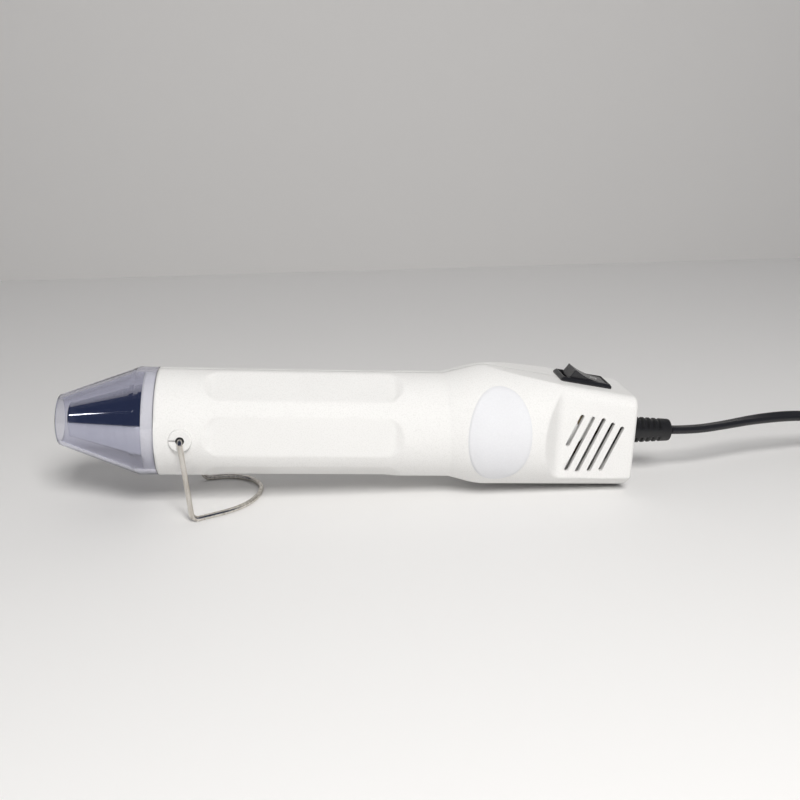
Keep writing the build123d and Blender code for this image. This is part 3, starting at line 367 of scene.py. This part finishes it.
around = (1, 0.03, 0.03)
along = (0.03, 1, 1)
finishes = {
    "white_plastic": surface(
        "speckled_white_plastic", (0.88, 0.875, 0.862), (0.79, 0.785, 0.77), 2300, (0.40, 0.50), 0.00003,
        edge=0.0019, cloud=0.02, window=(0.36, 0.52),
        crisp=(((0.091, 0, 0.0275), 0.0185), ((-0.0733, 0, 0.0322), 0.0065), ((-0.0877, 0, 0.0335), 0.0075)),
    ),
    # The guard's navy edge-on colour is partly its tint through more plastic, partly a painted dark reflection of
    # the room
    "guard_plastic": surface(
        "lavender_clear_plastic", (0.895, 0.897, 0.96), (0.875, 0.877, 0.95), 160, (0.02, 0.05), 0.00002,
        edge_on_tint_and_reflection=(0.40, 0.42, 0.72), Transmission_Weight=1.0, IOR=1.47, detail=1.0,
    ),
    "bright_steel": surface(
        "spun_bright_steel", (0.78, 0.79, 0.82), (0.68, 0.69, 0.73), 1400, (0.05, 0.11), 0.000002, around,
        lean=tool_tilt, Metallic=1.0,
    ),
    "steel_sheet": surface(
        "drawn_steel_sheet", (0.66, 0.66, 0.67), (0.5, 0.5, 0.52), 1500, (0.28, 0.42), 0.000006, along,
        lean=tool_tilt, Metallic=1.0,
    ),
    "mica": surface(
        "pressed_mica", (0.66, 0.58, 0.44), (0.42, 0.35, 0.25), 500, (0.35, 0.6), 0.00004, detail=6.0,
    ),
    "resistance_wire": surface(
        "heat_stained_wire", (0.5, 0.47, 0.45), (0.28, 0.24, 0.26), 260, (0.4, 0.6), 0.00001, Metallic=1.0,
    ),
    "aluminium_can": surface(
        "plain_aluminium", (0.84, 0.84, 0.85), (0.74, 0.74, 0.75), 1800, (0.25, 0.4), 0.000004, along, Metallic=1.0,
    ),
    "brass_strip": surface(
        "stamped_brass", (0.83, 0.66, 0.36), (0.68, 0.5, 0.24), 700, (0.25, 0.42), 0.000006, Metallic=1.0,
    ),
    "black_plastic": surface(
        "satin_black_plastic", (0.02, 0.02, 0.022), (0.013, 0.013, 0.015), 1900, (0.30, 0.40), 0.00003, edge=0.0004,
    ),
    "ferrite": surface(
        "pressed_ferrite", (0.13, 0.13, 0.14), (0.07, 0.07, 0.08), 1500, (0.55, 0.75), 0.00005, detail=6.0,
    ),
    "lamination": surface(
        "stacked_laminations", (0.6, 0.6, 0.6), (0.3, 0.3, 0.31), 2200, (0.35, 0.5), 0.00002, around, Metallic=1.0,
    ),
    # Painted shade: the fan and frame behind the slots are set near black so the slots read dark
    "fan_plastic": surface(
        "fan_plastic_darkened_as_slot_shade", (0.035, 0.035, 0.037), (0.025, 0.025, 0.027), 900, (0.4, 0.55), 0.00002, edge=0.0003,
    ),
    "screw_steel": surface(
        "zinc_plated_screw", (0.62, 0.62, 0.6), (0.44, 0.44, 0.43), 1300, (0.25, 0.4), 0.00001, Metallic=1.0,
    ),
    "board": surface(
        "paper_laminate_board", (0.5, 0.37, 0.18), (0.38, 0.27, 0.12), 1200, (0.45, 0.6), 0.00002, (1, 1, 0.15),
    ),
    "lead_insulation": surface(
        "woven_glass_sleeve", (0.10, 0.05, 0.035), (0.06, 0.03, 0.02), 2600, (0.6, 0.8), 0.00006,
    ),
    "rocker_plastic": surface(
        "gloss_black_plastic", (0.02, 0.02, 0.023), (0.014, 0.014, 0.016), 1400, (0.2, 0.3), 0.000015, edge=0.0004,
    ),
    "relief_rubber": surface(
        "matt_black_rubber", (0.02, 0.02, 0.021), (0.012, 0.012, 0.013), 1700, (0.42, 0.58), 0.00004, edge=0.0004,
    ),
    "stand_wire": surface(
        "nickel_wire", (0.80, 0.77, 0.72), (0.42, 0.37, 0.31), 900, (0.16, 0.32), 0.00001, (1, 1, 0.12),
        Metallic=1.0, window=(0.3, 0.6),
    ),
    "cord_pvc": surface(
        "smooth_black_flex", (0.022, 0.022, 0.025), (0.014, 0.014, 0.016), 1500, (0.3, 0.42), 0.00002,
    ),
    "tie_pvc": surface(
        "thin_black_strap", (0.04, 0.04, 0.042), (0.022, 0.022, 0.024), 1600, (0.45, 0.6), 0.00004, (1, 0.3, 0.3),
    ),
    "pin_brass": surface(
        "nickel_plated_pins", (0.84, 0.8, 0.7), (0.7, 0.66, 0.55), 1500, (0.15, 0.28), 0.000004, along, Metallic=1.0,
    ),
}
flex_finish = surface(
    "twin_flex_sheath", (0.022, 0.022, 0.025), (0.013, 0.013, 0.015), 900, (0.26, 0.4), 0.00002,
    (0.05, 1, 1), uv=True,
)
label_finish = surface(
    "bare_label_film", (0.83, 0.835, 0.86), (0.79, 0.795, 0.82), 1500, (0.42, 0.52), 0.000008,
)
mark_finish = surface(
    "white_switch_ink", (0.82, 0.82, 0.82), (0.7, 0.7, 0.7), 2500, (0.45, 0.6), 0.00001,
)
for part in frame["record"]["subparts"]:
    node = nodes[part["node"]]
    node.data.materials.clear()
    node.data.materials.append(finishes[part["material_slot"]])
cord.data.materials.append(flex_finish)
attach(cord, "tool")
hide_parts("cord_lead", "cord_coil", "cord_tail")


def added(name, shape, finish, body):
    """Links a finished mesh as a piece that moves with a body."""
    mesh = bpy.data.meshes.new(name)
    shape.to_mesh(mesh)
    shape.free()
    mesh.materials.append(finish)
    piece = bpy.data.objects.new(name, mesh)
    scene.collection.objects.link(piece)
    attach(piece, body)
    return piece


# Oval label place on the near side, a bare film that follows the housing
label_front = 0.1558
label_rear = 0.1799
label_low = radians(-47)
label_high = radians(52)
label_thickness = 0.00012
label_rings = 14
label_spokes = 72
label_edge = 0.12
bulge_rise = 0.0005
cast_reach = 0.05


def label_shape():
    """The film's outer face and its edge, laid on the housing from outside."""
    tree = BVHTree.FromObject(nodes["near_housing"], bpy.context.evaluated_depsgraph_get())
    shape = bmesh.new()

    def laid(ring, spoke, height):
        angle = 2 * pi * spoke / label_spokes
        share = ring / label_rings
        x = (label_front + label_rear) / 2 + (label_rear - label_front) / 2 * share * cos(angle)
        lift = (label_low + label_high) / 2 + (label_high - label_low) / 2 * share * sin(angle)
        outer = seated(x, -cast_reach * cos(lift), bulge_rise + cast_reach * sin(lift))
        inner = seated(x, 0, bulge_rise)
        place, normal, _, _ = tree.ray_cast(outer, (inner - outer).normalized())
        return shape.verts.new(place + normal * height)

    middle = laid(0, 0, label_thickness)
    rows = []
    for ring in range(1, label_rings + 1):
        rows.append([laid(ring, spoke, label_thickness) for spoke in range(label_spokes)])
    rows.append([laid(label_rings + label_edge, spoke, 0.0) for spoke in range(label_spokes)])
    for spoke in range(label_spokes):
        following = (spoke + 1) % label_spokes
        shape.faces.new((middle, rows[0][spoke], rows[0][following]))
        for inner, outer in zip(rows, rows[1:]):
            shape.faces.new((inner[spoke], outer[spoke], outer[following], inner[following]))
    bmesh.ops.recalc_face_normals(shape, faces=shape.faces)
    for face in shape.faces:
        face.smooth = True
    middle.normal_update()
    if middle.normal.y > 0:
        bmesh.ops.reverse_faces(shape, faces=shape.faces)
    return shape


added("side_label", label_shape(), label_finish, "tool")

# Strain relief: a tapered sleeve notched above and below between its ribs
sleeve_start = 0.2232
sleeve_length = 0.0195
sleeve_drop = 0.0019
sleeve_root = 0.0056
sleeve_tip = 0.00445
sleeve_round = 0.0008
sleeve_spokes = 96
sleeve_steps = 150
tip_steps = 6
root_gap = 0.00005
notch_from = 0.33
notch_full = 0.48
notch_count = 6
notch_pitch = 0.00245
notch_width = 0.0011
notch_depth = 0.00085
notch_edge = 0.00025
collar = [(-0.0045, 0.0), (-0.0045, 0.0058), (-0.0021, 0.0058), (-0.0021, 0.0042), (0.0, 0.0042)]


def notched(distance):
    """How deep the notches are at a distance from the housing, from 0 to 1."""
    depth = 0
    for count in range(notch_count):
        middle = notch_pitch * (count + 1) - notch_width / 2
        away = abs(distance - middle)
        depth = max(depth, 1 - eased(notch_width / 2 - notch_edge, notch_width / 2 + notch_edge, away))
    return depth


def sleeve_shape():
    """Rings from the flange inside the housing to the rounded tip, closed at both ends."""
    stations = [(x, radius, 0.0) for x, radius in collar]
    straight = sleeve_length - sleeve_round
    for step in range(sleeve_steps + 1):
        x = root_gap + (straight - root_gap) * step / sleeve_steps
        stations.append((x, sleeve_root + (sleeve_tip - sleeve_root) * x / sleeve_length, notched(x)))
    for step in range(1, tip_steps + 1):
        angle = pi / 2 * step / tip_steps
        radius = sleeve_tip - sleeve_round * (1 - cos(angle))
        stations.append((straight + sleeve_round * sin(angle), radius, 0.0))
    stations.append((sleeve_length, 0.0, 0.0))
    shape = bmesh.new()
    rings = []
    for x, radius, depth in stations:
        if radius == 0:
            rings.append([shape.verts.new(seated(sleeve_start + x, 0, -sleeve_drop))])
            continue
        ring = []
        for spoke in range(sleeve_spokes):
            angle = 2 * pi * spoke / sleeve_spokes
            reach = radius - notch_depth * depth * eased(notch_from, notch_full, abs(sin(angle)))
            place = seated(sleeve_start + x, reach * cos(angle), reach * sin(angle) - sleeve_drop)
            ring.append(shape.verts.new(place))
        rings.append(ring)
    for first, second in zip(rings, rings[1:]):
        for spoke in range(sleeve_spokes):
            following = (spoke + 1) % sleeve_spokes
            corners = [first[spoke % len(first)], first[following % len(first)]]
            corners += [second[following % len(second)], second[spoke % len(second)]]
            face = shape.faces.new(list(dict.fromkeys(corners)))
            face.smooth = True
    bmesh.ops.recalc_face_normals(shape, faces=shape.faces)
    return shape


relief = added("ribbed_strain_relief", sleeve_shape(), finishes["relief_rubber"], "tool")
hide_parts("strain_relief")

# Painted shade round the stand's pins: a flat black ring on each side stands for the dark of the holes
pin_shade_inner = 0.00102
pin_shade_outer = 0.0016
pin_shade_face = 0.02232
pin_shade_height = 0.00002
pin_shade_spokes = 48
pivot_x = 0.0478
pivot_drop = 0.001


def pin_shade_shape():
    """A thin flat ring of painted shade on each boss."""
    shape = bmesh.new()
    for side in (-1, 1):
        rings = []
        for radius, lift in ((pin_shade_inner, 0), (pin_shade_inner, 1), (pin_shade_outer, 1), (pin_shade_outer, 0)):
            ring = []
            for spoke in range(pin_shade_spokes):
                angle = 2 * pi * spoke / pin_shade_spokes
                y = side * (pin_shade_face + pin_shade_height * lift)
                place = seated(pivot_x + radius * cos(angle), y, radius * sin(angle) - pivot_drop)
                ring.append(shape.verts.new(place))
            rings.append(ring)
        for first, second in zip(rings, rings[1:] + rings[:1]):
            for spoke in range(pin_shade_spokes):
                following = (spoke + 1) % pin_shade_spokes
                shape.faces.new((first[spoke], first[following], second[following], second[spoke]))
    bmesh.ops.recalc_face_normals(shape, faces=shape.faces)
    return shape


# The black rings are painted shade, not hollows
added("painted_pin_shade", pin_shade_shape(), finishes["relief_rubber"], "tool")

# Switch marks: a bar and a ring printed on the rocker's two halves
mark_height = 0.0028
mark_line = 0.0005
mark_lift = 0.00004
mark_offset = 0.0042
mark_shift = 0.0004
mark_steps = 8
mark_spokes = 40
cast_height = 0.01


def mark_shape():
    """The bar and the ring, laid on the rocker's top from above."""
    tree = BVHTree.FromObject(nodes["switch_rocker"], bpy.context.evaluated_depsgraph_get())
    low, high = (Vector(corner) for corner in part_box("switch_rocker"))
    centre = Vector(((low.x + high.x) / 2 - mark_shift, 0, high.z + cast_height))
    shape = bmesh.new()

    def laid(x, y):
        place, normal, _, _ = tree.ray_cast(centre + Vector((x, y, 0)), (0, 0, -1))
        return shape.verts.new(place + normal * mark_lift)

    for step in range(mark_steps):
        first = -mark_height / 2 + mark_height * step / mark_steps
        last = first + mark_height / mark_steps
        corners = [(-mark_line / 2, first), (mark_line / 2, first), (mark_line / 2, last), (-mark_line / 2, last)]
        shape.faces.new([laid(-mark_offset + x, y) for x, y in corners])
    outer = mark_height / 2
    inner = mark_height / 2 - mark_line
    for spoke in range(mark_spokes):
        corners = []
        for count, radius in ((spoke, outer), (spoke + 1, outer), (spoke + 1, inner), (spoke, inner)):
            angle = 2 * pi * count / mark_spokes
            corners.append((radius * cos(angle), radius * sin(angle)))
        shape.faces.new([laid(mark_offset + x, y) for x, y in corners])
    bmesh.ops.remove_doubles(shape, verts=shape.verts, dist=mark_line / 50)
    for face in shape.faces:
        face.normal_update()
        if face.normal.z < 0:
            face.normal_flip()
    return shape


added("rocker_marks", mark_shape(), mark_finish, "rocker")


# Grip ribs on the plug's two wide faces
rib_sizes = {"Count": 5, "Pitch": 0.0024, "Width": 0.0011, "Length": 0.015, "Height": 0.001}
rib_front = 0.2222
rib_sink = 0.00025
rib_levels = 3
rib_crease = 0.55
plug_half = 0.00685


def rib_tree():
    """A row of rounded bars with their finish, later copied to each side of the middle plane."""
    tree = bpy.data.node_groups.new("plug_ribs", "GeometryNodeTree")
    tree.interface.new_socket("Geometry", in_out="OUTPUT", socket_type="NodeSocketGeometry")
    for name in rib_sizes:
        kind = "NodeSocketInt" if name == "Count" else "NodeSocketFloat"
        tree.interface.new_socket(name, in_out="INPUT", socket_type=kind)
    tree.interface.new_socket("Finish", in_out="INPUT", socket_type="NodeSocketMaterial")
    entry = tree.nodes.new("NodeGroupInput")
    leave = tree.nodes.new("NodeGroupOutput")
    size = tree.nodes.new("ShaderNodeCombineXYZ")
    for axis, name in zip("XYZ", ("Width", "Length", "Height")):
        tree.links.new(entry.outputs[name], size.inputs[axis])
    bar = tree.nodes.new("GeometryNodeMeshCube")
    tree.links.new(size.outputs["Vector"], bar.inputs["Size"])
    smooth = tree.nodes.new("GeometryNodeSubdivisionSurface")
    smooth.inputs["Level"].default_value = rib_levels
    smooth.inputs["Edge Crease"].default_value = rib_crease
    tree.links.new(bar.outputs["Mesh"], smooth.inputs["Mesh"])
    step = tree.nodes.new("ShaderNodeCombineXYZ")
    tree.links.new(entry.outputs["Pitch"], step.inputs["X"])
    row = tree.nodes.new("GeometryNodeMeshLine")
    tree.links.new(entry.outputs["Count"], row.inputs["Count"])
    tree.links.new(step.outputs["Vector"], row.inputs["Offset"])
    placed = tree.nodes.new("GeometryNodeInstanceOnPoints")
    tree.links.new(row.outputs["Mesh"], placed.inputs["Points"])
    tree.links.new(smooth.outputs["Mesh"], placed.inputs["Instance"])
    solid = tree.nodes.new("GeometryNodeRealizeInstances")
    tree.links.new(placed.outputs["Instances"], solid.inputs["Geometry"])
    coat = tree.nodes.new("GeometryNodeSetMaterial")
    tree.links.new(solid.outputs["Geometry"], coat.inputs["Geometry"])
    tree.links.new(entry.outputs["Finish"], coat.inputs["Material"])
    tree.links.new(coat.outputs["Geometry"], leave.inputs["Geometry"])
    return tree


def rib_row():
    """The row of bars as one plain mesh."""
    holder = bpy.data.objects.new("rib_holder", bpy.data.meshes.new("rib_holder"))
    scene.collection.objects.link(holder)
    modifier = holder.modifiers.new("ribs", "NODES")
    modifier.node_group = rib_tree()
    for socket in modifier.node_group.interface.items_tree:
        if socket.in_out == "INPUT":
            modifier[socket.identifier] = finishes["cord_pvc"] if socket.name == "Finish" else rib_sizes[socket.name]
    mesh = bpy.data.meshes.new_from_object(holder.evaluated_get(bpy.context.evaluated_depsgraph_get()))
    bpy.data.objects.remove(holder)
    return mesh


row_mesh = rib_row()
ribs = bmesh.new()
for side in (-1, 1):
    start = len(ribs.verts)
    ribs.from_mesh(row_mesh)
    ribs.verts.ensure_lookup_table()
    for vertex in ribs.verts[start:]:
        vertex.co += Vector((rib_front, plug_place[1], plug_place[2] + side * (plug_half - rib_sink)))
for face in ribs.faces:
    face.smooth = True
plug_ribs = added("plug_grip_ribs", ribs, finishes["cord_pvc"], "tool")


# Table and backdrop
def plain(name, colour, roughness):
    """An even studio surface."""
    material = bpy.data.materials.new(name)
    material.use_nodes = True
    shader = material.node_tree.nodes["Principled BSDF"]
    shader.inputs["Base Color"].default_value = (*colour, 1)
    shader.inputs["Roughness"].default_value = roughness
    return material


def stage_plane(name, corners, material):
    """One flat sheet of the studio."""
    mesh = bpy.data.meshes.new(name)
    mesh.from_pydata(corners, [], [(0, 1, 2, 3)])
    mesh.materials.append(material)
    plane = bpy.data.objects.new(name, mesh)
    scene.collection.objects.link(plane)
    return plane


table_depth = 0.57
wall_height = 1.2
half_room = 3.0
table = stage_plane(
    "table",
    [
        (-half_room, -half_room, 0), (half_room, -half_room, 0),
        (half_room, table_depth, 0), (-half_room, table_depth, 0),
    ],
    plain("table_top", (0.90, 0.895, 0.89), 0.6),
)
wall = stage_plane(
    "wall",
    [
        (-half_room, table_depth, 0), (half_room, table_depth, 0),
        (half_room, table_depth, wall_height), (-half_room, table_depth, wall_height),
    ],
    plain("back_wall", (0.80, 0.79, 0.78), 0.8),
)

# Room: dark blue in the steel's reflections, dim grey as a fill, pale behind the table
room_colour = (0.035, 0.045, 0.085)
fill_colour = (0.12, 0.12, 0.125)
backdrop_colour = (0.62, 0.615, 0.61)
world = bpy.data.worlds.new("studio")
scene.world = world
world.use_nodes = True
sky = world.node_tree
room = sky.nodes["Background"]
room.inputs["Color"].default_value = (*room_colour, 1)
seen = sky.nodes.new("ShaderNodeLightPath")
shown = room.outputs["Background"]
for ray, grey in (("Is Diffuse Ray", fill_colour), ("Is Camera Ray", backdrop_colour)):
    pale = sky.nodes.new("ShaderNodeBackground")
    pale.inputs["Color"].default_value = (*grey, 1)
    choice = sky.nodes.new("ShaderNodeMixShader")
    sky.links.new(seen.outputs[ray], choice.inputs[0])
    sky.links.new(shown, choice.inputs[1])
    sky.links.new(pale.outputs["Background"], choice.inputs[2])
    shown = choice.outputs["Shader"]
sky.links.new(shown, sky.nodes["World Output"].inputs["Surface"])


# Lamps: a soft light in front and above, a wide one overhead, and a small one for the steel's glint
lamp_colour = (1.0, 0.988, 0.968)
table_centre = (0, 0, 0)
key_place = (0.09, -0.64, 0.60)
key_size = 0.28
key_power = 6.4
overhead_place = (0.0, 0.1, 1.6)
overhead_target = (0, 0.1, 0)
overhead_size = 1.6
overhead_power = 2.8
glint_place = (-0.438, -0.233, 0.345)
glint_target = (-0.114, -0.006, 0.039)
glint_size = 0.02
glint_power = 0.012


def softbox(name, place, target, size, power, mirrored=False):
    """A square soft light that faces its target, and shows in glossy surfaces only where mirrored."""
    lamp = bpy.data.lights.new(name, "AREA")
    lamp.shape = "SQUARE"
    lamp.size = size
    lamp.energy = power
    lamp.color = lamp_colour
    light = bpy.data.objects.new(name, lamp)
    way = Vector(target) - Vector(place)
    light.matrix_world = Matrix.Translation(place) @ way.to_track_quat("-Z", "Y").to_matrix().to_4x4()
    light.visible_glossy = mirrored
    light.visible_transmission = mirrored
    scene.collection.objects.link(light)
    return light


def group(name, members, state):
    """Objects that a lamp keeps to, or leaves out."""
    chosen = bpy.data.collections.new(name)
    for member in members:
        chosen.objects.link(member)
    for member in chosen.collection_objects:
        member.light_linking.link_state = state
    return chosen


# The front light twice: one falls on the table and the wall, one on the tool and through its clear guard
through_guard = group("all_but_guard", [nodes["front_guard"]], "EXCLUDE")
studio_key = softbox("studio_key_light", key_place, table_centre, key_size, key_power)
studio_key.light_linking.receiver_collection = group("studio_only", [table, wall], "INCLUDE")
tool_key = softbox("tool_key_light", key_place, table_centre, key_size, key_power)
tool_key.light_linking.receiver_collection = group("all_but_studio", [table, wall], "EXCLUDE")
tool_key.light_linking.blocker_collection = through_guard
softbox("overhead_light", overhead_place, overhead_target, overhead_size, overhead_power)
glint = softbox("glint_light", glint_place, glint_target, glint_size, glint_power, mirrored=True)
glint.light_linking.blocker_collection = through_guard
